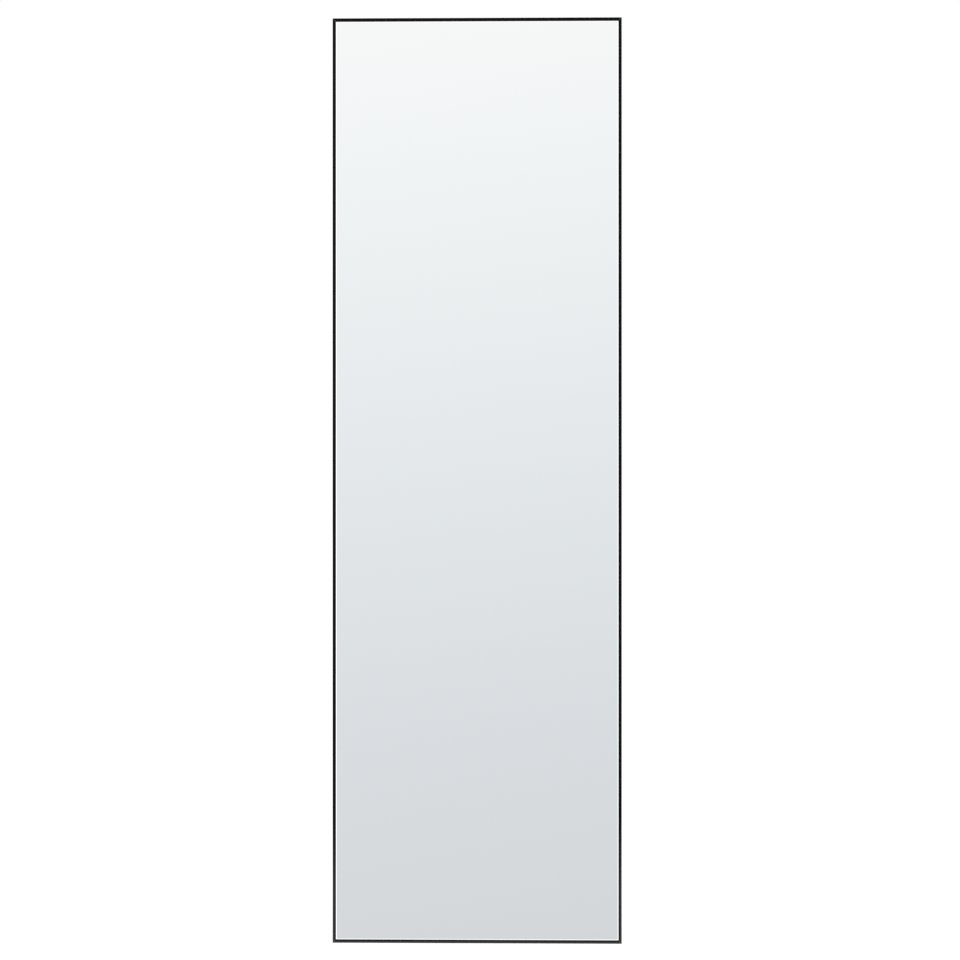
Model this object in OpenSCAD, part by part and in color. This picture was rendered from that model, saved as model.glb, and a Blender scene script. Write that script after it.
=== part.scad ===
// Tall wall mirror in a thin extruded aluminium frame.
// Millimetres, +Z up, front face looking along -Y. The origin lies on the wall plane,
// behind the centre of the mirror, where the rear faces of the four wall pads stand.
// Four mitred rails hold a loose stack from behind: glass, safety film, card and back board,
// pressed forward against the lip by bowed spring clips. Every rail carries a rear channel
// that takes the corner plates and the nut plates of the hangers.

/* [Overall] */
// Width of the frame
mirror_w = 500; // [300:10:900]
// Height of the frame
mirror_h = 1600; // [900:10:2000]

/* [Frame profile] */
// Depth of the profile, front to back
frame_d = 25; // [22:0.5:35]
// Width of the profile's rear channel
channel_w = 20; // [20:0.5:30]
// Width of the front lip, the black line seen from the front
lip_w = 5; // [4:0.5:10]
// Thickness of the front lip
lip_t = 1.5; // [1.2:0.1:2.5]
// Thickness of the outer and the inner wall
wall_t = 1.4; // [1.2:0.1:2]
// Thickness of the channel's floor
floor_t = 1.5; // [1.2:0.1:2.2]
// Reach of each rear hook past its wall
hook_w = 4.6; // [3.5:0.1:5]
// Thickness of the rear hooks
hook_t = 1.5; // [1.2:0.1:2.2]
// Clear depth of the channel between floor and hooks
channel_d = 4; // [3.8:0.1:5]
// Radius of the profile's eased edges
edge_r = 0.4; // [0.2:0.05:0.5]

/* [Glass and backing] */
// Thickness of the glass
glass_t = 4; // [3:0.5:6]
// Space between the glass and the outer wall
glass_gap = 0.6; // [0.3:0.1:1]
// Space between the lip and the flat face of the glass
glass_play = 0.2; // [0.1:0.1:0.5]
// Width of the bevel round the glass
bevel_w = 5; // [4:0.5:12]
// Depth of the bevel at the edge of the glass
bevel_d = 0.9; // [0.4:0.1:1.5]
// How far the glazing tape stays back from the lip's edge
tape_set = 0.4; // [0.2:0.1:0.8]
// Thickness of the safety film on the back of the glass
film_t = 0.2; // [0.1:0.05:0.4]
// Thickness of the corrugated card sheet
card_t = 3; // [1:0.5:4]
// Thickness of the back board
board_t = 3; // [2:0.5:5]

/* [Spring clips] */
// Length of a clip along the rail
clip_len = 40; // [30:1:60]
// Width of a clip
clip_w = 20; // [14:1:28]
// How far a clip reaches under the channel
clip_under = 12; // [8:0.5:14]
// Thickness of the spring steel
clip_t = 0.6; // [0.4:0.1:0.8]
// Length of the lip turned up at each end of a clip
foot_len = 2.5; // [1.5:0.1:4]
// Number of clips on each upright
upright_clip_count = 4; // [2:1:6]
// Number of clips on the top and on the bottom rail
level_clip_count = 2; // [1:1:3]

/* [Corner joints] */
// Length of each leg of the corner plates
corner_leg = 50; // [42:1:80]
// Thickness of the tapped corner plate
corner_t = 2; // [1.6:0.1:2.2]
// Thickness of the backing plate
backer_t = 1; // [0.8:0.1:1.2]
// Diameter of the set screws
grub_d = 5; // [4:0.5:5]
// Length that the set screws stand out past the tapped plate
grub_out = 1; // [0.5:0.1:1.3]
// Distance from the corner to the first set screw
grub_first = 26; // [24:0.5:28]
// Distance between the two set screws of a leg
grub_pitch = 16; // [8:0.5:19]

/* [Hangers] */
// Distance from the top edge down to the pivots of the two upright hangers
hanger_drop = 200; // [150:5:400]
// Distance from the left edge to the pivots of the two hangers for sideways use
hanger_inset = 100; // [90:5:140]
// Width of the strap
strap_w = 12.8; // [11:0.1:13]
// Thickness of the strap
strap_t = 1.2; // [1:0.1:1.6]
// Diameter of the ring's wire
wire_d = 2.5; // [2:0.1:2.8]
// Reach of the ring from its pivot to the middle of its bow
ring_reach = 17; // [15:0.5:24]
// Space on each side between the strap and the ring
ring_play = 0.7; // [0.4:0.1:0.7]
// Diameter of the hanger screws
screw_d = 4; // [3.5:0.5:4]
// Length of the hanger screws under the head
screw_len = 6; // [5.5:0.1:6.5]
// Diameter of the screw heads
screw_head_d = 8; // [7:0.5:8.5]
// Height of the screw heads
screw_head_h = 2.7; // [2:0.1:3]
// Distance between the two screws of a hanger
screw_pitch = 14; // [11:0.5:20]
// Space left between the ring's bow and the first screw head
head_clear = 2; // [1.5:0.1:3]
// Thickness of the nut plates
nut_t = 2; // [1.5:0.1:2.5]
// Reach of a nut plate past the middle of its screws
nut_margin = 5; // [4:0.1:6.2]

/* [Wall pads] */
// Diameter of a pad
pad_d = 16; // [14:0.5:20]
// Radius of a pad's rounded edge
pad_round = 2; // [1:0.1:3]
// Distance from the top or bottom edge to the middle of a pad
pad_inset = 75; // [60:5:150]
// Space left between the hangers and the wall
wall_clear = 0.94; // [0.5:0.02:3]

/* [Hidden] */
$fn = 64;
// Running clearance of the ring's wire in its knuckle, on the radius
pivot_clear = 0.08;
// Clearance of a screw in its tapped hole, on the radius
thread_clear = 0.05;
// Clearance of a screw in its plain hole, on the radius
hole_clear = 0.2;
// Side clearance of the plates in the channel
plate_clear = 0.2;
// Space left at each face of a sprung clip
clip_clear = 0.05;
// Space left at each mitred end of the glazing tape
tape_gap = 0.2;
// Overshoot of a cutting shape
cut = 1;
// Angle at which the curled end of the strap stops, measured from the strap's direction
curl_end = -30;
// Fineness of the wide arcs of the clips
arc_fn = 360;
// Angle at which a clip's lips rise from the board
foot_lift = 32;
// Share of a screw head's height that is rounded, and share of its width that the recess takes
head_round = 0.7;
recess_share = 0.55;

wire_r = wire_d / 2;
knuckle_bore_r = wire_r + pivot_clear;
knuckle_r = knuckle_bore_r + strap_t;
// Height of the knuckle over the rear of the frame, which the wall pads have to clear
knuckle_h = 2 * knuckle_r;
pad_t = knuckle_h + wall_clear;
front_y = -(frame_d + pad_t);

// Depths measured from the front face of the frame
floor_v = frame_d - hook_t - channel_d - floor_t;
channel_v = floor_v + floor_t;
hook_v = frame_d - hook_t;
glass_v = lip_t + glass_play;
film_v = glass_v + glass_t;
card_v = film_v + film_t;
board_v = card_v + card_t;
clip_v = board_v + board_t;
pivot_v = frame_d + strap_t + knuckle_bore_r;

// The stack's edge, measured inward from the outer face of the frame
stack_u = wall_t + glass_gap;
stack_w = mirror_w - 2 * stack_u;
stack_h = mirror_h - 2 * stack_u;
tape_w = lip_w - tape_set - stack_u;
slot_mid = channel_w / 2;
plate_w = channel_w - 2 * (wall_t + plate_clear);
plate_u = wall_t + plate_clear;

// Places along a hanger's strap, measured from its pivot
hole_1 = ring_reach + wire_r + screw_head_d / 2 + head_clear;
hole_2 = hole_1 + screw_pitch;
ring_half_w = strap_w / 2 + ring_play + wire_r;
ring_bend_r = ring_play + wire_r;

SIDES = ["left", "right", "top", "bottom"];
CORNERS = ["top_left", "top_right", "bottom_left", "bottom_right"];

function upright(side) = side == "left" || side == "right";
function rail_name(side) = str(side, upright(side) ? "_stile" : "_rail");
function rail_length(side) = upright(side) ? mirror_h : mirror_w;
// Distance from the centre of the mirror to a side's outer face
function half_across(side) = (upright(side) ? mirror_w : mirror_h) / 2;
// Turn about Y that brings the bottom side to another
function side_turn(side) = side == "left" ? 90 : side == "top" ? 180 : side == "right" ? -90 : 0;
function clip_count(side) = upright(side) ? upright_clip_count : level_clip_count;
// Whether a hanger's strap points against its rail's own direction
function points_back(side) = side == "right" || side == "top";
// Distance from the rail's end to its hanger's pivot
function pivot_from_end(side) = upright(side) ? hanger_drop : hanger_inset;
function on_right(corner) = corner == "top_right" || corner == "bottom_right";
function on_top(corner) = corner == "top_left" || corner == "top_right";

black = [0.09, 0.09, 0.095];
steel = [0.72, 0.73, 0.74];

// Puts what is drawn in a side's own frame on that side of the mirror:
// X along the rail, Y back from the front face, Z inward from the outer face.
module on_side(side) {
    rotate([0, side_turn(side), 0]) translate([0, front_y, -half_across(side)]) children();
}

// Puts what is drawn in a corner's own frame on that corner:
// X and Z inward from the two outer faces, Y back from the front face.
module at_corner(corner) {
    mirror([on_right(corner) ? 1 : 0, 0, 0]) mirror([0, 0, on_top(corner) ? 1 : 0])
        translate([-mirror_w / 2, front_y, -mirror_h / 2]) children();
}

// Draws a profile of width against depth along a whole rail, mitred at both ends, each set back by back_off.
module mitred(side, reach, back_off = 0) {
    half = rail_length(side) / 2 - back_off;
    intersection() {
        rotate([0, -90, 0]) linear_extrude(rail_length(side), center = true) children();
        rotate([90, 0, 0]) translate([0, 0, -frame_d - cut]) linear_extrude(frame_d + 2 * cut)
            polygon([[-half, 0], [half, 0], [half - reach, reach], [-half + reach, reach]]);
    }
}

// Draws a profile of length against depth across a rail, from one width to another.
module across(from, to) {
    translate([0, 0, from]) linear_extrude(to - from) children();
}

// What is cut from a square corner to round it; turn is where the corner points.
module eased(x, y, turn) {
    translate([x, y]) rotate(turn) difference() {
        translate([-cut, -cut]) square(edge_r + cut);
        translate([edge_r, edge_r]) circle(edge_r);
    }
}

// Cross-section of the extruded rail: X inward from the outer face, Y back from the front.
module rail_profile() {
    inner = channel_w - wall_t;
    hook_end = wall_t + hook_w;
    difference() {
        polygon([
            [0, 0], [lip_w, 0], [lip_w, lip_t], [wall_t, lip_t],
            [wall_t, floor_v], [channel_w, floor_v], [channel_w, frame_d],
            [channel_w - hook_end, frame_d], [channel_w - hook_end, hook_v], [inner, hook_v],
            [inner, channel_v], [wall_t, channel_v], [wall_t, hook_v],
            [hook_end, hook_v], [hook_end, frame_d], [0, frame_d]
        ]);
        eased(0, 0, 0);
        eased(lip_w, 0, 90);
        eased(channel_w, floor_v, 90);
        eased(channel_w, frame_d, 180);
        eased(0, frame_d, -90);
    }
}

module rail(side) {
    color(black) on_side(side) mitred(side, channel_w) rail_profile();
}

// The glass: a flat plate whose front edge is bevelled on all four sides.
module mirror_glass() {
    back = film_v;
    front = glass_v;
    color([0.86, 0.9, 0.91]) translate([0, front_y, 0]) intersection() {
        linear_extrude(stack_h, center = true) bevelled(stack_w / 2, front, back);
        rotate([0, -90, 0]) linear_extrude(stack_w, center = true) bevelled(stack_h / 2, front, back);
    }
}

module bevelled(half, front, back) {
    polygon([
        [-half, back], [half, back], [half, front + bevel_d], [half - bevel_w, front],
        [-half + bevel_w, front], [-half, front + bevel_d]
    ]);
}

// A flat sheet of the stack, from one depth over its thickness.
module sheet(v, thickness) {
    translate([-stack_w / 2, front_y + v, -stack_h / 2]) cube([stack_w, thickness, stack_h]);
}

module safety_film() {
    color([0.6, 0.66, 0.72]) sheet(film_v, film_t);
}

module card_sheet() {
    color([0.76, 0.62, 0.45]) sheet(card_v, card_t);
}

module back_board() {
    color([0.42, 0.29, 0.19]) sheet(board_v, board_t);
}

// Depth of the bevel's surface at a distance in from the edge of the glass.
function bevel_v(in) = glass_v + bevel_d * max(0, 1 - in / bevel_w);

// Black foam tape between lip and glass, squeezed to the wedge that the bevel leaves.
module glazing_tape() {
    past_bevel = tape_w > bevel_w ? [[stack_u + bevel_w, glass_v]] : [];
    wedge = concat(
        [[stack_u, lip_t], [stack_u + tape_w, lip_t], [stack_u + tape_w, bevel_v(tape_w)]],
        past_bevel,
        [[stack_u, bevel_v(0)]]
    );
    color("dimgray") for (side = SIDES)
        on_side(side) mitred(side, lip_w, tape_gap) polygon(wedge);
}

// Bowed strips of spring steel: a crown under the channel, and a lip turned up at each foot.
module spring_clips(side) {
    pitch = rail_length(side) / clip_count(side);
    first = pitch / 2 - rail_length(side) / 2;
    color(steel) on_side(side) for (i = [0 : clip_count(side) - 1])
        translate([first + i * pitch, 0, channel_w - clip_under]) across(0, clip_w) clip_strip();
}

module clip_strip() {
    half = clip_len / 2;
    board = clip_v + clip_clear;
    rise = floor_v - clip_clear - board - clip_t;
    radius = (half * half + rise * rise) / (2 * rise);
    outer = radius + clip_t;
    heel = sqrt(outer * outer - (radius - rise) * (radius - rise));
    intersection() {
        translate([0, board + rise - radius]) difference() {
            circle(outer, $fn = arc_fn);
            circle(radius, $fn = arc_fn);
        }
        translate([-clip_len, board]) square([2 * clip_len, rise + 2 * clip_t]);
    }
    for (flip = [0, 1]) mirror([flip, 0]) translate([heel, board]) rotate(foot_lift)
        polygon([[0, 0], [foot_len, 0], [foot_len, clip_t], [-clip_t, clip_t]]);
}

// Outline of both corner plates: an L that lies in the channels of two rails.
module corner_outline() {
    inner = plate_u + plate_w;
    polygon([
        [plate_u, plate_u], [corner_leg, plate_u], [corner_leg, inner],
        [inner, inner], [inner, corner_leg], [plate_u, corner_leg]
    ]);
}

// Lays a flat outline of X and Z in the channel, from one depth over its thickness.
module laid(v, thickness) {
    translate([0, v + thickness, 0]) rotate([90, 0, 0]) linear_extrude(thickness) children();
}

// Runs over the middles of the four set screws of a corner.
module at_grubs() {
    for (along = [grub_first, grub_first + grub_pitch]) {
        translate([along, slot_mid]) children();
        translate([slot_mid, along]) children();
    }
}

// Tapped plate that bears on the hooks.
module corner_plate(corner) {
    color(steel) at_corner(corner) laid(hook_v - corner_t, corner_t) difference() {
        corner_outline();
        at_grubs() circle(grub_d / 2 + thread_clear);
    }
}

// Plain plate that the set screws press on the channel's floor.
module corner_backer(corner) {
    color(steel) at_corner(corner) laid(channel_v, backer_t) corner_outline();
}

// Four set screws with hexagon sockets.
module corner_screws(corner) {
    tip = channel_v + backer_t;
    length = hook_v + grub_out - tip;
    socket = grub_d / 4;
    color("dimgray") at_corner(corner) difference() {
        laid(tip, length) at_grubs() circle(grub_d / 2);
        laid(tip + length / 2, length) at_grubs() circle(socket, $fn = 6);
    }
}

// Puts what is drawn in a hanger's own frame on its rail:
// X from the pivot along the strap, Y back from the frame's front face, Z across, 0 at the slot's middle.
module at_hanger(side) {
    from_mid = rail_length(side) / 2 - pivot_from_end(side);
    on_side(side) mirror([points_back(side) ? 1 : 0, 0, 0]) translate([-from_mid, 0, slot_mid]) children();
}

// Runs over the two screw places of a hanger, with Z pointing back out of the frame.
module at_hanger_screws(v) {
    for (along = [hole_1, hole_2]) translate([along, v, 0]) rotate([-90, 0, 0]) children();
}

// Steel strap, its end rolled into the knuckle that holds the ring.
module hanger_strap(side) {
    half = strap_w / 2;
    color(steel) at_hanger(side) difference() {
        union() {
            across(-half, half) {
                translate([0, frame_d]) square([hole_2, strap_t]);
                translate([0, pivot_v]) curl();
            }
            intersection() {
                translate([hole_2, frame_d, 0]) rotate([-90, 0, 0]) cylinder(h = strap_t, r = half);
                translate([hole_2, frame_d, -half]) cube([half, strap_t, strap_w]);
            }
        }
        at_hanger_screws(frame_d - cut) cylinder(h = strap_t + 2 * cut, r = screw_d / 2 + hole_clear);
    }
}

// Section of the knuckle: a ring left open where its rolled end stops short of the strap.
module curl() {
    reach = 2 * knuckle_r;
    difference() {
        circle(knuckle_r);
        circle(knuckle_bore_r);
        polygon([[0, 0], [reach * cos(curl_end), reach * sin(curl_end)], [reach, -reach], [0, -reach]]);
    }
}

// Bent wire ring: a straight bar in the knuckle, two bends, two legs and a round bow.
module hanger_ring(side) {
    bow_x = ring_reach - ring_half_w;
    color(steel) at_hanger(side) translate([0, pivot_v, 0]) rotate([-90, 0, 0]) {
        rotate([90, 0, 0]) cylinder(h = 2 * (ring_half_w - ring_bend_r), r = wire_r, center = true);
        for (flip = [0, 1]) mirror([0, flip, 0]) {
            translate([ring_bend_r, ring_half_w - ring_bend_r, 0]) rotate(90) wire_arc(ring_bend_r, 90);
            translate([ring_bend_r, ring_half_w, 0]) rotate([0, 90, 0])
                cylinder(h = bow_x - ring_bend_r, r = wire_r);
        }
        translate([bow_x, 0, 0]) rotate(-90) wire_arc(ring_half_w, 180);
    }
}

module wire_arc(radius, angle) {
    rotate_extrude(angle = angle) translate([radius, 0]) circle(wire_r);
}

// Tapped plate in the channel, behind the hooks, that the hanger's screws pull on.
module hanger_nut_plate(side) {
    color(steel) at_hanger(side) difference() {
        translate([hole_1 - nut_margin, hook_v - nut_t, -plate_w / 2])
            cube([screw_pitch + 2 * nut_margin, nut_t, plate_w]);
        at_hanger_screws(hook_v - nut_t - cut)
            cylinder(h = nut_t + 2 * cut, r = screw_d / 2 + thread_clear);
    }
}

// Two pan head screws with cross recesses.
module hanger_screws(side) {
    recess_w = screw_d / 5;
    recess_len = screw_head_d * recess_share;
    color(steel) at_hanger(side) at_hanger_screws(frame_d + strap_t) difference() {
        union() {
            translate([0, 0, -screw_len]) cylinder(h = screw_len, r = screw_d / 2);
            rounded_disc(screw_head_d / 2, screw_head_h, screw_head_h * head_round);
        }
        for (turn = [0, 90]) rotate(turn) translate([-recess_len / 2, -recess_w / 2, screw_head_h / 2])
            cube([recess_len, recess_w, screw_head_h]);
    }
}

// A disc whose top edge is rounded.
module rounded_disc(radius, height, round_r) {
    rotate_extrude() union() {
        square([radius, height - round_r]);
        square([radius - round_r, height]);
        translate([radius - round_r, height - round_r]) intersection() {
            circle(round_r);
            square(round_r);
        }
    }
}

// Rubber bumper stuck over the slot, between the frame and the wall.
module wall_pad(corner) {
    color([0.15, 0.15, 0.16]) at_corner(corner) translate([slot_mid, frame_d, pad_inset])
        rotate([-90, 0, 0]) rounded_disc(pad_d / 2, pad_t, pad_round);
}

mirror_glass();
safety_film();
card_sheet();
back_board();
glazing_tape();
for (s = SIDES) {
    rail(s);
    spring_clips(s);
    hanger_strap(s);
    hanger_ring(s);
    hanger_nut_plate(s);
    hanger_screws(s);
}
for (c = CORNERS) {
    corner_plate(c);
    corner_backer(c);
    corner_screws(c);
    wall_pad(c);
}
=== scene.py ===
"""Tall wall mirror in a thin black aluminium frame. Metres, +Z up, front face looking along -Y."""

import math

import bpy
from mathutils import Matrix, Vector


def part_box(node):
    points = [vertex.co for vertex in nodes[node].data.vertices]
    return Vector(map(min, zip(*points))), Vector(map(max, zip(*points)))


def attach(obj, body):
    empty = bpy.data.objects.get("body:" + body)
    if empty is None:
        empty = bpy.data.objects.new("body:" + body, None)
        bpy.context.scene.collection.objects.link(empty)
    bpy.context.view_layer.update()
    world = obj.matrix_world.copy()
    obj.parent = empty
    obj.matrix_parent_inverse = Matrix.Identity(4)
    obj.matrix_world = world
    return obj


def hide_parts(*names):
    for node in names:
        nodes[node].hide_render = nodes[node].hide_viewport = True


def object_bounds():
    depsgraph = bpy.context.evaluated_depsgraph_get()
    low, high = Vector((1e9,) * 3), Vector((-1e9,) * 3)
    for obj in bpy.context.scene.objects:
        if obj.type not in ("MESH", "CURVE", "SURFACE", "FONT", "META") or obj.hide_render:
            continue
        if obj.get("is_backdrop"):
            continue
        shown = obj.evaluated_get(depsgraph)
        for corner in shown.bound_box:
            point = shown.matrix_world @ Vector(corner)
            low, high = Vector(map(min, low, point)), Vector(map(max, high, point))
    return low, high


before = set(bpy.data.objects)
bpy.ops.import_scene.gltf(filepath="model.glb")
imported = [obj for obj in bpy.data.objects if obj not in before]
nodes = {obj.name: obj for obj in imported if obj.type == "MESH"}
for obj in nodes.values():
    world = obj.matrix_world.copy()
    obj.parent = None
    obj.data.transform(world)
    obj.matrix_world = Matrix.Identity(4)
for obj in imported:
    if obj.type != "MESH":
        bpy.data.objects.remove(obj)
cad_low, cad_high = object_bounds()


# The camera stands five metres in front of the mirror at the height of its middle, a little to the right,
# and looks at it level, so the uprights stay upright. The small shift only places the mirror in the picture.
CAMERA_DISTANCE = 5.0
CAMERA_TURN = math.radians(1.38)
PICTURE_PIXELS = 960
MIRROR_PIXELS_HIGH = 925.5
MIDDLE_PIXEL = (477.0, 480.57)
SENSOR = 36.0

aim = Vector((0, cad_low.y, 0))
camera_data = bpy.data.cameras.new("camera")
camera = bpy.data.objects.new("camera", camera_data)
bpy.context.scene.collection.objects.link(camera)
camera.location = aim + CAMERA_DISTANCE * Vector((math.sin(CAMERA_TURN), -math.cos(CAMERA_TURN), 0))
camera.rotation_mode = "QUATERNION"
camera.rotation_quaternion = (aim - camera.location).to_track_quat("-Z", "Y")
field_high = (cad_high.z - cad_low.z) * PICTURE_PIXELS / MIRROR_PIXELS_HIGH
camera_data.sensor_width = SENSOR
camera_data.lens = SENSOR * CAMERA_DISTANCE / field_high
camera_data.shift_x = (PICTURE_PIXELS / 2 - MIDDLE_PIXEL[0]) / PICTURE_PIXELS
camera_data.shift_y = (MIDDLE_PIXEL[1] - PICTURE_PIXELS / 2) / PICTURE_PIXELS
bpy.context.scene.camera = camera


# The room: white to the camera and even to the surfaces. What reflects it sees a pale studio that is
# made up below: near white overhead, blue-grey low down, and bright again at both sides.
EVEN_LIGHT = 0.72
WHITE = (1, 1, 1, 1)
# In front: near white overhead, blue-grey from the horizon down, paler again on the near floor.
# Each stop is an angle above the horizon in degrees, and the light there as a grey or a colour.
FRONT_LIGHT = [
    (-90, 0.95),
    (-36, (0.9, 0.905, 0.91)),
    (-27, (0.83, 0.84, 0.85)),
    (-20, (0.77, 0.785, 0.805)),
    (-14, (0.73, 0.74, 0.76)),
    (-9.1, (0.705, 0.716, 0.738)),
    (-5, (0.737, 0.758, 0.785)),
    (0, (0.815, 0.839, 0.862)),
    (5, (0.915, 0.927, 0.938)),
    (9.1, 0.99),
    (26, 1.15),
    (90, 0.9),
]
# Behind: greyer, with the light from above, so that the metal on the back shows its shape. It takes over
# as a direction turns back, in full from BACK_FADE on.
BACK_LIGHT = [(-90, 0.7), (-35, 0.6), (-6, 0.42), (8, 0.5), (24, 0.95), (50, 1.3), (90, 1.0)]
BACK_FADE = 0.3
# Bright panels, which the bevel of the pane catches: one at each side, and one on the near floor
PANEL_LIGHT = (1.25, 1.25, 1.25)
SIDE_PANELS = [(0.0, 0), (0.2, 0), (0.3, 1), (0.46, 1), (0.58, 0), (1.0, 0)]
FLOOR_PANEL_ANGLES = [(-90, 0), (-42, 0), (-36, 1), (-24, 1), (-20, 0), (90, 0)]
FLOOR_PANEL_WIDTH = [(0.0, 1), (0.14, 1), (0.26, 0), (1.0, 0)]
# The left of the room is slightly brighter than the right
LEFT_GAIN = 0.14


def add(tree, kind, **settings):
    """Adds a node of a kind, with its settings."""
    made = tree.nodes.new(kind)
    for name, value in settings.items():
        setattr(made, name, value)
    return made


def ramp(tree, value, stops):
    """A colour for a value from 0 to 1, from stops of a position and a colour."""
    made = add(tree, "ShaderNodeValToRGB")
    elements = made.color_ramp.elements
    while len(elements) < len(stops):
        elements.new(0.5)
    for element, (position, colour) in zip(elements, stops):
        element.position = position
        element.color = (*colour, 1)
    tree.links.new(value, made.inputs["Fac"])
    return made.outputs["Color"]


def maths(tree, operation, first, second=0.0):
    """One sum; each of its two values is a number or a socket."""
    made = add(tree, "ShaderNodeMath", operation=operation)
    for place, value in enumerate((first, second)):
        if isinstance(value, (int, float)):
            made.inputs[place].default_value = value
        else:
            tree.links.new(value, made.inputs[place])
    return made.outputs[0]


def ranged(tree, value, low, high, start=0.0, end=1.0, curve="LINEAR"):
    """Goes from low to high while the value goes from start to end."""
    made = add(tree, "ShaderNodeMapRange", interpolation_type=curve)
    for name, number in (("From Min", start), ("From Max", end), ("To Min", low), ("To Max", high)):
        made.inputs[name].default_value = number
    tree.links.new(value, made.inputs["Value"])
    return made.outputs["Result"]


def tinted(tree, factor, first, second):
    """The first colour where the factor is 0, the second where it is 1."""
    made = add(tree, "ShaderNodeMix", data_type="RGBA")
    tree.links.new(factor, made.inputs["Factor"])
    for name, colour in (("A", first), ("B", second)):
        if isinstance(colour, tuple):
            made.inputs[name].default_value = (*colour, 1)
        else:
            tree.links.new(colour, made.inputs[name])
    return made.outputs["Result"]


def blend(tree, factor, first, second):
    """The first shader where the factor is 0, the second where it is 1."""
    made = add(tree, "ShaderNodeMixShader")
    tree.links.new(factor, made.inputs["Fac"])
    tree.links.new(first, made.inputs[1])
    tree.links.new(second, made.inputs[2])
    return made.outputs[0]


world = bpy.data.worlds.new("studio")
bpy.context.scene.world = world
world.use_nodes = True
room = world.node_tree
room.nodes.clear()
looking = add(room, "ShaderNodeTexCoord").outputs["Generated"]
split = add(room, "ShaderNodeSeparateXYZ")
room.links.new(looking, split.inputs[0])
upward = ranged(room, split.outputs["Z"], 0.0, 1.0, -1.0)
sideways = maths(room, "ABSOLUTE", split.outputs["X"])


def by_height(stops):
    """A colour for each angle above the horizon in degrees; a bare number is a grey."""
    places = []
    for angle, light in stops:
        colour = light if isinstance(light, tuple) else (light, light, light)
        places.append(((math.sin(math.radians(angle)) + 1) / 2, colour))
    return ramp(room, upward, places)


def by_side(stops):
    """A share for how far a direction turns sideways, from 0 straight ahead to 1."""
    return ramp(room, sideways, [(part, (share, share, share)) for part, share in stops])


in_front = by_height(FRONT_LIGHT)
side_panels = by_side(SIDE_PANELS)
floor_panel = maths(room, "MULTIPLY", by_height(FLOOR_PANEL_ANGLES), by_side(FLOOR_PANEL_WIDTH))
in_front = tinted(room, maths(room, "MAXIMUM", side_panels, floor_panel), in_front, PANEL_LIGHT)
behind = by_height(BACK_LIGHT)
turned_back = ranged(room, split.outputs["Y"], 0.0, 1.0, 0.0, BACK_FADE, "SMOOTHSTEP")
all_round = tinted(room, turned_back, in_front, behind)
leaning = maths(room, "MULTIPLY", split.outputs["X"], -LEFT_GAIN)
reflected = add(room, "ShaderNodeBackground")
room.links.new(all_round, reflected.inputs["Color"])
room.links.new(maths(room, "ADD", leaning, 1.0), reflected.inputs["Strength"])
even = add(room, "ShaderNodeBackground")
even.inputs["Strength"].default_value = EVEN_LIGHT
even.inputs["Color"].default_value = WHITE
white = add(room, "ShaderNodeBackground")
white.inputs["Color"].default_value = WHITE
ray = add(room, "ShaderNodeLightPath")
mirrored = maths(room, "MAXIMUM", ray.outputs["Is Glossy Ray"], ray.outputs["Is Transmission Ray"])
seen = blend(room, mirrored, even.outputs[0], reflected.outputs[0])
seen = blend(room, ray.outputs["Is Camera Ray"], seen, white.outputs[0])
room.links.new(seen, add(room, "ShaderNodeOutputWorld").inputs["Surface"])
bpy.context.scene.view_settings.view_transform = "Standard"

# Each lamp: name, place, width, watts. All stand above what the mirror shows from the front.
LAMPS = [
    ("key_lamp", (-2.2, -3.0, 3.4), 2.4, 60),
    ("fill_lamp", (2.8, -2.4, 2.6), 2.4, 25),
    ("back_lamp", (1.6, 3.2, 3.0), 2.0, 60),
]
for name, place, width, watts in LAMPS:
    lamp_data = bpy.data.lights.new(name, "AREA")
    lamp_data.size = width
    lamp_data.energy = watts
    lamp = bpy.data.objects.new(name, lamp_data)
    bpy.context.scene.collection.objects.link(lamp)
    lamp.location = place
    lamp.rotation_mode = "QUATERNION"
    lamp.rotation_quaternion = (-Vector(place)).to_track_quat("-Z", "Y")


# The floor, some way below the mirror, as under one that hangs on a wall. It is matt and pale, and glows
# a little to the camera, so it runs into the white background. It isn't part of the object.
FLOOR_DROP = 0.35
FLOOR_WIDTH = 120
FLOOR_PAINT = (0.9, 0.9, 0.9, 1)
# The glow's strength close to the mirror and far off, where between them it changes, and its share
GLOW = (1.0, 1.7)
GLOW_REACH = (0.8, 4.0)
GLOW_SHARE = 0.4

bpy.ops.object.select_all(action="DESELECT")
bpy.ops.mesh.primitive_plane_add(size=FLOOR_WIDTH, location=(0, 0, cad_low.z - FLOOR_DROP))
floor = bpy.context.object
floor.name = "floor"
floor.visible_glossy = False
paint = bpy.data.materials.new("pale floor")
paint.use_nodes = True
tree = paint.node_tree
tree.nodes.clear()
matt = add(tree, "ShaderNodeBsdfDiffuse")
matt.inputs["Color"].default_value = FLOOR_PAINT
spot = add(tree, "ShaderNodeTexCoord").outputs["Object"]
away = add(tree, "ShaderNodeVectorMath", operation="LENGTH")
tree.links.new(spot, away.inputs[0])
glow = add(tree, "ShaderNodeEmission")
tree.links.new(ranged(tree, away.outputs["Value"], *GLOW, *GLOW_REACH, "SMOOTHSTEP"), glow.inputs["Strength"])
by_camera = maths(tree, "MULTIPLY", add(tree, "ShaderNodeLightPath").outputs["Is Camera Ray"], GLOW_SHARE)
floor_seen = blend(tree, by_camera, matt.outputs[0], glow.outputs[0])
tree.links.new(floor_seen, add(tree, "ShaderNodeOutputMaterial").inputs["Surface"])
floor.data.materials.append(paint)
floor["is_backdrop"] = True


# The four rails: extruded aluminium with a satin black powder coat, mitred at the corners and held by
# the plates inside. The coat has a fine grain, and low down its face carries a painted sheen of dull grey.
RAILS = ("top_rail", "bottom_rail", "left_stile", "right_stile")
RAIL_EASE = 0.00012
LIP_THICKNESS = 0.0015
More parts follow.
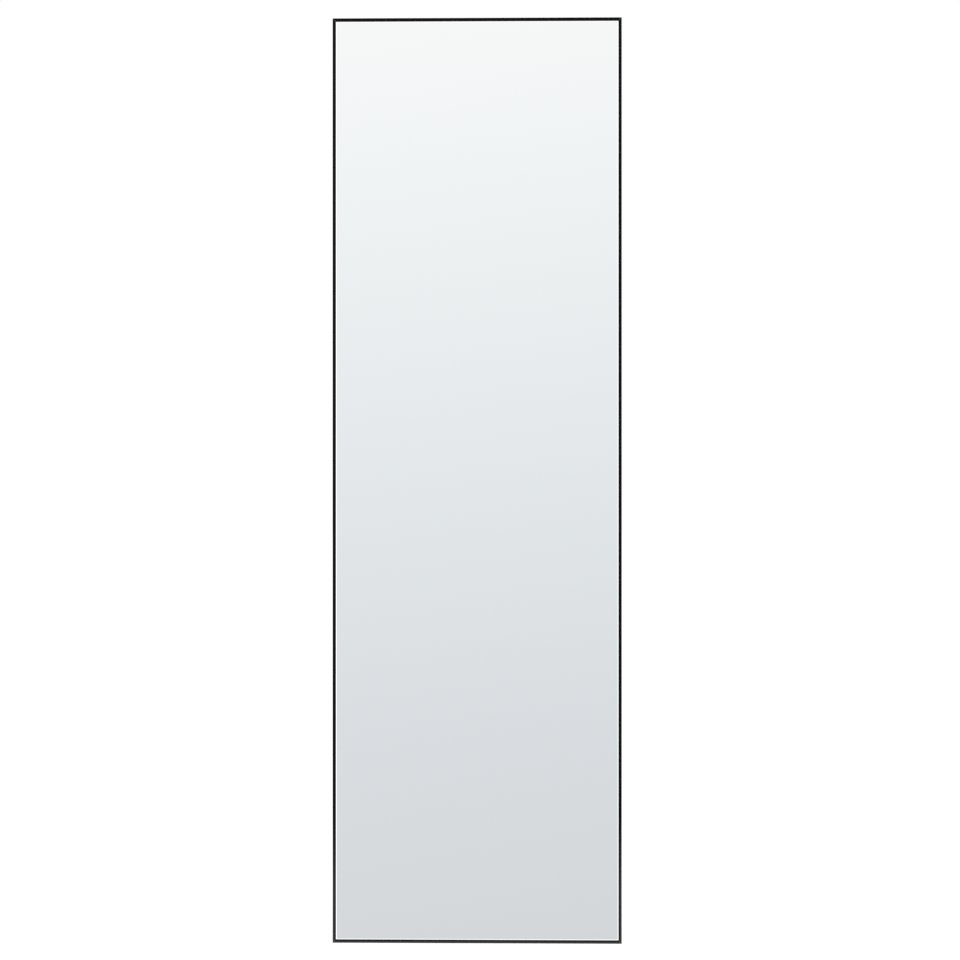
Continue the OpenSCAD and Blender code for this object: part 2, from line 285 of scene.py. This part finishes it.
# Faces whose middle is nearer to the front than this have the coat of the lip
LIP_FACE_DEPTH = 0.9 * LIP_THICKNESS
# Points closer than ONE_POINT are merged, and faces that turn less than ONE_FACE become one. Edges that
# turn more than BROKEN_EDGE are broken, and those over SHARP_EDGE stay sharp in the shading.
ONE_POINT = 2e-6
ONE_FACE = math.radians(0.2)
BROKEN_EDGE = math.radians(35)
SHARP_EDGE = math.radians(40)
COAT_HOLLOW = (0.0024, 0.0024, 0.0027)
COAT_PEAK = (0.0042, 0.0042, 0.0046)
COAT_ROUGHNESS = (0.3, 0.4)
COAT_SPECKLE = 900
COAT_CLOUD = 45
COAT_GRAIN = 1500
COAT_DEPTH = 0.00005
SATIN_SHINE = 0.3


def new_material(name):
    """A material, its node tree and its shader."""
    made = bpy.data.materials.new(name)
    made.use_nodes = True
    return made, made.node_tree, made.node_tree.nodes["Principled BSDF"]


def placed(tree, stretch=(1, 1, 1)):
    """The place on the piece, each axis multiplied by its stretch."""
    mapping = add(tree, "ShaderNodeMapping")
    mapping.inputs["Scale"].default_value = stretch
    tree.links.new(add(tree, "ShaderNodeTexCoord").outputs["Object"], mapping.inputs["Vector"])
    return mapping.outputs[0]


def grain(tree, scale, detail=3.0, stretch=(1, 1, 1)):
    """A noise of scale patches to a metre, drawn out along an axis whose stretch is below 1."""
    made = add(tree, "ShaderNodeTexNoise")
    made.inputs["Scale"].default_value = scale
    made.inputs["Detail"].default_value = detail
    tree.links.new(placed(tree, stretch), made.inputs["Vector"])
    return made.outputs["Fac"]


def dented(tree, shader, value, strength, depth):
    """Makes the surface look dented where the value is low."""
    made = add(tree, "ShaderNodeBump")
    made.inputs["Strength"].default_value = strength
    made.inputs["Distance"].default_value = depth
    tree.links.new(value, made.inputs["Height"])
    tree.links.new(made.outputs[0], shader.inputs["Normal"])


def softened(name, ease, material, clamped=True):
    """Stands for a CAD node: its shape with the sharp edges broken, as deburring and coating leave them."""
    piece = bpy.data.objects.new(name + "_eased", nodes[name].data.copy())
    bpy.context.scene.collection.objects.link(piece)
    bpy.ops.object.select_all(action="DESELECT")
    piece.select_set(True)
    bpy.context.view_layer.objects.active = piece
    bpy.ops.object.mode_set(mode="EDIT")
    bpy.ops.mesh.select_all(action="SELECT")
    bpy.ops.mesh.remove_doubles(threshold=ONE_POINT)
    bpy.ops.mesh.dissolve_limited(angle_limit=ONE_FACE)
    bpy.ops.object.mode_set(mode="OBJECT")
    broken = piece.modifiers.new("broken edges", "BEVEL")
    broken.width = ease
    broken.segments = 2
    broken.use_clamp_overlap = clamped
    broken.limit_method = "ANGLE"
    broken.angle_limit = BROKEN_EDGE
    bpy.ops.object.modifier_apply(modifier=broken.name)
    bpy.ops.object.shade_smooth_by_angle(angle=SHARP_EDGE)
    even = piece.modifiers.new("flat faces stay flat", "WEIGHTED_NORMAL")
    even.keep_sharp = True
    bpy.ops.object.modifier_apply(modifier=even.name)
    piece.data.materials.clear()
    piece.data.materials.append(material)
    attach(piece, "mirror")
    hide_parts(name)
    return piece


def from_edges(tree, spot, corner):
    """Distances inward from the upright and the level edges of a rectangle, given its upper right corner."""
    across = maths(tree, "SUBTRACT", corner.x, maths(tree, "ABSOLUTE", spot.outputs["X"]))
    upright = maths(tree, "SUBTRACT", corner.z, maths(tree, "ABSOLUTE", spot.outputs["Z"]))
    return across, upright


def powder_coat(name, shine):
    """Black powder coat with a fine grain; shine is how strongly it mirrors."""
    made, tree, shader = new_material(name)
    black = tinted(tree, grain(tree, COAT_SPECKLE, 2), COAT_HOLLOW, COAT_PEAK)
    tree.links.new(ranged(tree, grain(tree, COAT_CLOUD), *COAT_ROUGHNESS), shader.inputs["Roughness"])
    shader.inputs["Specular IOR Level"].default_value = shine
    dented(tree, shader, grain(tree, COAT_GRAIN, 2), 0.2, COAT_DEPTH)
    tree.links.new(black, shader.inputs["Base Color"])
    return made, tree, shader, black


side_coat = powder_coat("satin black coat", SATIN_SHINE)[0]
# The face of the lip has a more matt coat. Over the lowest fifth of a metre its outer part has a painted
# sheen of lighter grey that stands for the pale floor's reflection: fully up to the first height, and not at
# all above the second. The same holds for the two widths.
MATT_SHINE = 0.06
FLOOR_SHEEN_GREY = (0.045, 0.044, 0.043)
FLOOR_SHEEN_HEIGHTS = (0.09, 0.215)
FLOOR_SHEEN_WIDTHS = (0.003, 0.004)
# Where two rails meet, the coat is worn off the edges of the mitre, and the metal shows as an uneven line
BARE_METAL = (0.24, 0.24, 0.245)
MITRE_WEAR = 0.0004
MITRE_PATCHES = 600

face_coat, tree, shader, black = powder_coat("matt black coat of the lip", MATT_SHINE)
spot = add(tree, "ShaderNodeSeparateXYZ")
tree.links.new(placed(tree), spot.inputs[0])
across, upright = from_edges(tree, spot, cad_high)
# Painted sheen: low down, the outer part of the lip's face is painted lighter grey for the floor's reflection
low_down = ranged(tree, spot.outputs["Z"], 1.0, 0.0, *[cad_low.z + height for height in FLOOR_SHEEN_HEIGHTS])
outer_part = ranged(tree, maths(tree, "MINIMUM", across, upright), 1.0, 0.0, *FLOOR_SHEEN_WIDTHS)
coat = tinted(tree, maths(tree, "MULTIPLY", low_down, outer_part), black, FLOOR_SHEEN_GREY)
from_mitre = maths(tree, "ABSOLUTE", maths(tree, "SUBTRACT", across, upright))
worn = maths(tree, "MULTIPLY", ranged(tree, from_mitre, 1.0, 0.0, MITRE_WEAR / 2, MITRE_WEAR),
             ranged(tree, grain(tree, MITRE_PATCHES), 0.3, 1.0, 0.4, 0.6))
tree.links.new(tinted(tree, worn, coat, BARE_METAL), shader.inputs["Base Color"])
for name in RAILS:
    rail = softened(name, RAIL_EASE, side_coat, clamped=False)
    rail.data.materials.append(face_coat)
    for face in rail.data.polygons:
        if face.center.y < cad_low.y + LIP_FACE_DEPTH:
            face.material_index = 1


# The pane: one sheet of silvered glass, faintly green-blue, with a polished bevel along its edge. The
# clips press it against the tape behind the lip. Its ground edge is green, and its back has grey paint.
PANE_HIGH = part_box("mirror_glass")[1]
BEVEL_WIDTH = 0.005
# What lies closer than this to the edge or to the back belongs to it
SKIN = 0.00002
PANE_TINT = (0.93, 0.945, 0.945)
BEVEL_TINT = (0.96, 0.975, 0.97)
EDGE_GREEN = (0.1, 0.32, 0.24)
BACK_PAINT = (0.2, 0.205, 0.21)
UNSILVERED_ROUGHNESS = 0.45


def dress(material, *names):
    """Gives CAD nodes a material."""
    for name in names:
        for slot in nodes[name].material_slots:
            slot.material = material


silver, tree, shader = new_material("silvered glass")
spot = add(tree, "ShaderNodeSeparateXYZ")
tree.links.new(placed(tree), spot.inputs[0])
inward = maths(tree, "MINIMUM", *from_edges(tree, spot, PANE_HIGH))
on_bevel = maths(tree, "LESS_THAN", inward, BEVEL_WIDTH)
on_edge = maths(tree, "LESS_THAN", inward, SKIN)
on_back = maths(tree, "GREATER_THAN", spot.outputs["Y"], PANE_HIGH.y - SKIN)
pane_colour = tinted(tree, on_bevel, PANE_TINT, BEVEL_TINT)
pane_colour = tinted(tree, on_edge, pane_colour, EDGE_GREEN)
tree.links.new(tinted(tree, on_back, pane_colour, BACK_PAINT), shader.inputs["Base Color"])
unsilvered = maths(tree, "MAXIMUM", on_edge, on_back)
tree.links.new(maths(tree, "SUBTRACT", 1.0, unsilvered), shader.inputs["Metallic"])
tree.links.new(maths(tree, "MULTIPLY", unsilvered, UNSILVERED_ROUGHNESS), shader.inputs["Roughness"])
dress(silver, "mirror_glass")


# The safety film on the back of the pane and the corrugated card behind it: both are hidden once the
# frame is closed. The film is a thin grey-blue sheet with a woven net in it, the card is brown kraft.
NET_PITCH = 0.004
NET_DEPTH = 0.0001
FILM_BLUE = (0.45, 0.5, 0.55)
NET_THREAD = (0.62, 0.66, 0.7)
FILM_ROUGHNESS = 0.4
FLUTE_PITCH = 0.006
FLUTE_DEPTH = 0.0003
KRAFT_DARK = (0.4, 0.27, 0.16)
KRAFT_PALE = (0.52, 0.37, 0.23)
FLUTE_SHADE = (0.3, 0.2, 0.12)
KRAFT_FIBRES = 300
KRAFT_ROUGHNESS = 0.85


def bands(tree, along, pitch):
    """Even stripes across X or Z at a pitch, from 0 to 1."""
    made = add(tree, "ShaderNodeTexWave", wave_type="BANDS", bands_direction=along)
    made.inputs["Scale"].default_value = math.pi / 10 / pitch
    made.inputs["Detail"].default_value = 0
    tree.links.new(placed(tree), made.inputs["Vector"])
    return made.outputs["Fac"]


film, tree, shader = new_material("safety film")
net = maths(tree, "MAXIMUM", bands(tree, "X", NET_PITCH), bands(tree, "Z", NET_PITCH))
net = ranged(tree, net, 0, 1, 0.9, 0.98)
tree.links.new(tinted(tree, net, FILM_BLUE, NET_THREAD), shader.inputs["Base Color"])
shader.inputs["Roughness"].default_value = FILM_ROUGHNESS
dented(tree, shader, net, 0.4, NET_DEPTH)
dress(film, "safety_film")

card, tree, shader = new_material("kraft card")
flutes = bands(tree, "X", FLUTE_PITCH)
kraft = tinted(tree, grain(tree, KRAFT_FIBRES, 5, (1, 1, 0.2)), KRAFT_DARK, KRAFT_PALE)
shaded = maths(tree, "MULTIPLY", flutes, 0.2)
tree.links.new(tinted(tree, shaded, kraft, FLUTE_SHADE), shader.inputs["Base Color"])
shader.inputs["Roughness"].default_value = KRAFT_ROUGHNESS
dented(tree, shader, flutes, 0.3, FLUTE_DEPTH)
dress(card, "card_sheet")


# The back board: a 3 mm sheet of hardboard, its rough side out. Brown pressed fibres that lie every way,
# clouded and flecked, with the print of the wire screen that they were pressed on.
SCREEN_PITCH = 0.0018
BOARD_DEPTH = 0.00025
FIBRE_WIDTH = 0.0008
FIBRE_LENGTH = 5.0
# Each layer of fibres: the way they lie in degrees, their colour, and how much of it shows
FIBRES = [
    (24, (0.34, 0.225, 0.138), 0.75),
    (-52, (0.1, 0.056, 0.031), 0.6),
    (83, (0.3, 0.195, 0.118), 0.6),
]
PULP_BROWN = (0.185, 0.107, 0.06)
PULP_PALE = (0.245, 0.15, 0.087)
MOTTLE_BROWN = (0.15, 0.085, 0.047)
FLECK_BROWN = (0.07, 0.038, 0.02)
PIT_PAINTED_SHADE = (0.13, 0.075, 0.042)
BOARD_CLOUDS = 5
BOARD_MOTTLE = 70
BOARD_FLECKS = 1100
BOARD_ROUGHNESS = (0.7, 0.85)
BOARD_SHINE = 0.3


def strewn(tree, turn):
    """A noise drawn out one way in the plane of the board, like fibres side by side."""
    laid = add(tree, "ShaderNodeMapping", vector_type="TEXTURE")
    laid.inputs["Rotation"].default_value = (0, math.radians(turn), 0)
    laid.inputs["Scale"].default_value = (1, 1, FIBRE_LENGTH)
    tree.links.new(add(tree, "ShaderNodeTexCoord").outputs["Object"], laid.inputs["Vector"])
    made = add(tree, "ShaderNodeTexNoise")
    made.inputs["Scale"].default_value = 1 / FIBRE_WIDTH
    made.inputs["Detail"].default_value = 4
    tree.links.new(laid.outputs[0], made.inputs["Vector"])
    return made.outputs["Fac"]


board, tree, shader = new_material("hardboard")
clouds = grain(tree, BOARD_CLOUDS, 4, (1, 1, 0.6))
mottle = grain(tree, BOARD_MOTTLE, 5)
flecks = ranged(tree, grain(tree, BOARD_FLECKS, 2), 0, 1, 0.66, 0.72)
pulp = tinted(tree, ranged(tree, clouds, 0, 1, 0.3, 0.7), PULP_BROWN, PULP_PALE)
pulp = tinted(tree, ranged(tree, mottle, 0, 0.5, 0.35, 0.65), pulp, MOTTLE_BROWN)
fuzz = 0.0
for turn, colour, share in FIBRES:
    layer = strewn(tree, turn)
    pulp = tinted(tree, ranged(tree, layer, 0, share, 0.48, 0.7), pulp, colour)
    fuzz = maths(tree, "ADD", layer, fuzz)
pulp = tinted(tree, maths(tree, "MULTIPLY", flecks, 0.5), pulp, FLECK_BROWN)
pits = maths(tree, "MULTIPLY", bands(tree, "X", SCREEN_PITCH), bands(tree, "Z", SCREEN_PITCH))
screen = ranged(tree, pits, 0.0, 1.0, 0.3, 0.8, "SMOOTHSTEP")
# Painted shade: the pits of the screen print are darkened
pulp = tinted(tree, maths(tree, "MULTIPLY", screen, 0.3), pulp, PIT_PAINTED_SHADE)
tree.links.new(pulp, shader.inputs["Base Color"])
tree.links.new(ranged(tree, mottle, *BOARD_ROUGHNESS), shader.inputs["Roughness"])
shader.inputs["Specular IOR Level"].default_value = BOARD_SHINE
dented(tree, shader, maths(tree, "SUBTRACT", fuzz, screen), 0.6, BOARD_DEPTH)
dress(board, "back_board")


# The glazing tape: strips of black foam, one along each side, stuck between the lip and the bevel so
# that the pane doesn't rattle. The bevel squeezes them to a wedge.
FOAM_CELLS = 2500
FOAM_DEPTH = 0.0001
FOAM_BLACK = (0.006, 0.006, 0.006)
FOAM_GREY = (0.02, 0.02, 0.02)
FOAM_ROUGHNESS = 0.9

foam, tree, shader = new_material("foam tape")
cells = add(tree, "ShaderNodeTexVoronoi")
cells.inputs["Scale"].default_value = FOAM_CELLS
tree.links.new(placed(tree), cells.inputs["Vector"])
walls = cells.outputs["Distance"]
# Painted shade: the hollows of the cells are darker than their walls
tree.links.new(tinted(tree, walls, FOAM_BLACK, FOAM_GREY), shader.inputs["Base Color"])
shader.inputs["Roughness"].default_value = FOAM_ROUGHNESS
dented(tree, shader, walls, 0.6, FOAM_DEPTH)
dress(foam, "glazing_tape")


# The corner plates: a tapped and a plain steel angle in each corner's channels, stamped from sheet and
# zinc plated, and the set screws of black oxidised steel that spread them and lock the mitre.
CORNERS = ("top_left", "top_right", "bottom_left", "bottom_right")
SHEET_EASE = 0.00018
SET_SCREW_EASE = 0.00025
ZINC_BLUE = (0.42, 0.445, 0.48)
ZINC_WARM = (0.52, 0.515, 0.49)
ZINC_DULL = (0.3, 0.31, 0.32)
ZINC_HAZE = 35
ZINC_ROLLING = 700
ZINC_ROUGHNESS = (0.26, 0.42)
ZINC_DEPTH = 0.00004
OXIDE_BLACK = (0.035, 0.035, 0.038)
OXIDE_GREY = (0.075, 0.075, 0.08)
OXIDE_SPECKLE = 800
OXIDE_CLOUD = 400
OXIDE_ROUGHNESS = (0.35, 0.5)

zinc, tree, shader = new_material("zinc plated steel")
shader.inputs["Metallic"].default_value = 1
haze = grain(tree, ZINC_HAZE, 4)
rolling = grain(tree, ZINC_ROLLING, 4)
plating = tinted(tree, ranged(tree, haze, 0, 1, 0.35, 0.65), ZINC_BLUE, ZINC_WARM)
plating = tinted(tree, ranged(tree, rolling, 0, 0.35, 0.4, 0.8), plating, ZINC_DULL)
tree.links.new(plating, shader.inputs["Base Color"])
tree.links.new(ranged(tree, rolling, *ZINC_ROUGHNESS), shader.inputs["Roughness"])
dented(tree, shader, rolling, 0.25, ZINC_DEPTH)

oxide, tree, shader = new_material("black oxide steel")
shader.inputs["Metallic"].default_value = 1
speckled = tinted(tree, grain(tree, OXIDE_SPECKLE), OXIDE_BLACK, OXIDE_GREY)
tree.links.new(speckled, shader.inputs["Base Color"])
tree.links.new(ranged(tree, grain(tree, OXIDE_CLOUD), *OXIDE_ROUGHNESS), shader.inputs["Roughness"])
for corner in CORNERS:
    softened("corner_plate_" + corner, SHEET_EASE, zinc)
    softened("corner_screws_" + corner, SET_SCREW_EASE, oxide)
    dress(zinc, "corner_backer_" + corner)


# The spring clips: bowed strips of blued spring steel, pushed in under the channel, whose feet press
# the board and the stack in front of it against the lip.
SIDES = ("left", "right", "top", "bottom")
CLIP_EASE = 0.00012
BLUED = (0.13, 0.155, 0.21)
BLUED_GREY = (0.2, 0.2, 0.22)
BLUED_BRIGHT = (0.34, 0.35, 0.37)
BLUED_CLOUDS = 60
BLUED_ROUGHNESS = (0.24, 0.4)
STREAKS = 900
STREAK_STRETCH = 0.04
STREAK_DEPTH = 0.00003


def blued_steel(name, stretch):
    """Cloudy blued steel with streaks, drawn out along an axis whose stretch is below 1."""
    made, tree, shader = new_material(name)
    shader.inputs["Metallic"].default_value = 1
    streaks = grain(tree, STREAKS, 4, stretch)
    cloudy = ranged(tree, grain(tree, BLUED_CLOUDS), 0, 1, 0.35, 0.65)
    bluing = tinted(tree, cloudy, BLUED, BLUED_GREY)
    bluing = tinted(tree, ranged(tree, streaks, 0, 0.7, 0.4, 0.75), bluing, BLUED_BRIGHT)
    tree.links.new(bluing, shader.inputs["Base Color"])
    tree.links.new(ranged(tree, streaks, *BLUED_ROUGHNESS), shader.inputs["Roughness"])
    dented(tree, shader, streaks, 0.2, STREAK_DEPTH)
    return made


blued_upright = blued_steel("blued spring steel upright", (1, 1, STREAK_STRETCH))
blued_level = blued_steel("blued spring steel level", (STREAK_STRETCH, 1, 1))
for side in SIDES:
    blued = blued_upright if side in ("left", "right") else blued_level
    softened("spring_clips_" + side, CLIP_EASE, blued)


# The hangers: a zinc plated strap with its end rolled round the bar of a bright wire ring, and two pan
# head screws that pull it against a nut plate in the channel. One pair serves upright, one sideways.
STRAP_EASE = 0.0002
SCREW_EASE = 0.00007
WIRE_GREY = (0.5, 0.51, 0.52)
WIRE_BRIGHT = (0.62, 0.625, 0.63)
WIRE_CLOUDS = 250
WIRE_SCRATCHES = 500
WIRE_ROUGHNESS = (0.14, 0.26)

wire, tree, shader = new_material("bright wire")
shader.inputs["Metallic"].default_value = 1
drawn = tinted(tree, grain(tree, WIRE_CLOUDS, 4), WIRE_GREY, WIRE_BRIGHT)
tree.links.new(drawn, shader.inputs["Base Color"])
tree.links.new(ranged(tree, grain(tree, WIRE_SCRATCHES), *WIRE_ROUGHNESS), shader.inputs["Roughness"])
for side in SIDES:
    softened("hanger_strap_" + side, STRAP_EASE, zinc)
    softened("hanger_screws_" + side, SCREW_EASE, zinc, clamped=False)
    softened("hanger_nut_plate_" + side, SHEET_EASE, zinc)
    dress(wire, "hanger_ring_" + side)


# The wall pads: round bumpers of black rubber stuck on the back near the corners, which keep the rings
# and straps off the wall. Each is moulded with a thin foot, a slight draft and a dimple in its face.
PAD_SIDES = 48
# Half the outline of a pad: distance from its middle and height over the frame, in shares of its size
PAD_FOOT = [(1.0, 0.1), (0.955, 0.14)]
PAD_TOP_RADIUS = 0.93
PAD_ROUND = 0.24
PAD_ROUND_STEPS = 6
PAD_DIMPLE = [(0.4, 1.0), (0.36, 0.985), (0.31, 0.94), (0.24, 0.915), (0.12, 0.905)]
PAD_SHARP_EDGE = math.radians(35)
RUBBER_BLACK = (0.018, 0.018, 0.019)
RUBBER_BLOOM = (0.034, 0.034, 0.036)
BLOOM_PATCHES = 90
RUBBER_GRAIN = 1800
RUBBER_ROUGHNESS = (0.6, 0.78)
RUBBER_SHINE = 0.3
RUBBER_DEPTH = 0.0001

rubber, tree, shader = new_material("black rubber")
bloom = grain(tree, BLOOM_PATCHES, 4)
bloomed = tinted(tree, ranged(tree, bloom, 0, 1, 0.35, 0.7), RUBBER_BLACK, RUBBER_BLOOM)
tree.links.new(bloomed, shader.inputs["Base Color"])
tree.links.new(ranged(tree, bloom, *RUBBER_ROUGHNESS), shader.inputs["Roughness"])
shader.inputs["Specular IOR Level"].default_value = RUBBER_SHINE
dented(tree, shader, grain(tree, RUBBER_GRAIN, 2), 0.35, RUBBER_DEPTH)

low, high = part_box("wall_pad_top_left")
pad_radius = (high.x - low.x) / 2
pad_height = high.y - low.y
pad_outline = list(PAD_FOOT)
for step in range(PAD_ROUND_STEPS + 1):
    angle = math.radians(90) * step / PAD_ROUND_STEPS
    rounded_in = PAD_ROUND * (1 - math.cos(angle))
    height = 1 - PAD_ROUND * pad_radius / pad_height * (1 - math.sin(angle))
    pad_outline.append((PAD_TOP_RADIUS - rounded_in, height))
pad_outline += PAD_DIMPLE

bpy.ops.object.select_all(action="DESELECT")
bpy.ops.mesh.primitive_circle_add(vertices=PAD_SIDES, radius=pad_radius, fill_type="NGON",
                                  rotation=(math.radians(-90), 0, 0))
moulded = bpy.context.object
bpy.ops.object.mode_set(mode="EDIT")
bpy.ops.mesh.select_all(action="SELECT")
last_radius, last_height = 1.0, 0.0
for radius, height in pad_outline:
    rise = (height - last_height) * pad_height
    bpy.ops.mesh.extrude_region_move(TRANSFORM_OT_translate={"value": (0, rise, 0)})
    bpy.ops.transform.resize(value=(radius / last_radius, 1, radius / last_radius))
    last_radius, last_height = radius, height
bpy.ops.mesh.select_all(action="SELECT")
bpy.ops.mesh.normals_make_consistent(inside=False)
bpy.ops.object.mode_set(mode="OBJECT")
bpy.ops.object.transform_apply(location=True, rotation=True, scale=True)
bpy.ops.object.shade_smooth_by_angle(angle=PAD_SHARP_EDGE)
moulded.data.materials.append(rubber)
for corner in CORNERS:
    low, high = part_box("wall_pad_" + corner)
    pad = bpy.data.objects.new("moulded_pad_" + corner, moulded.data.copy())
    bpy.context.scene.collection.objects.link(pad)
    pad.data.transform(Matrix.Translation(((low.x + high.x) / 2, low.y, (low.z + high.z) / 2)))
    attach(pad, "mirror")
    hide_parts("wall_pad_" + corner)
bpy.data.objects.remove(moulded)


low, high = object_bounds()
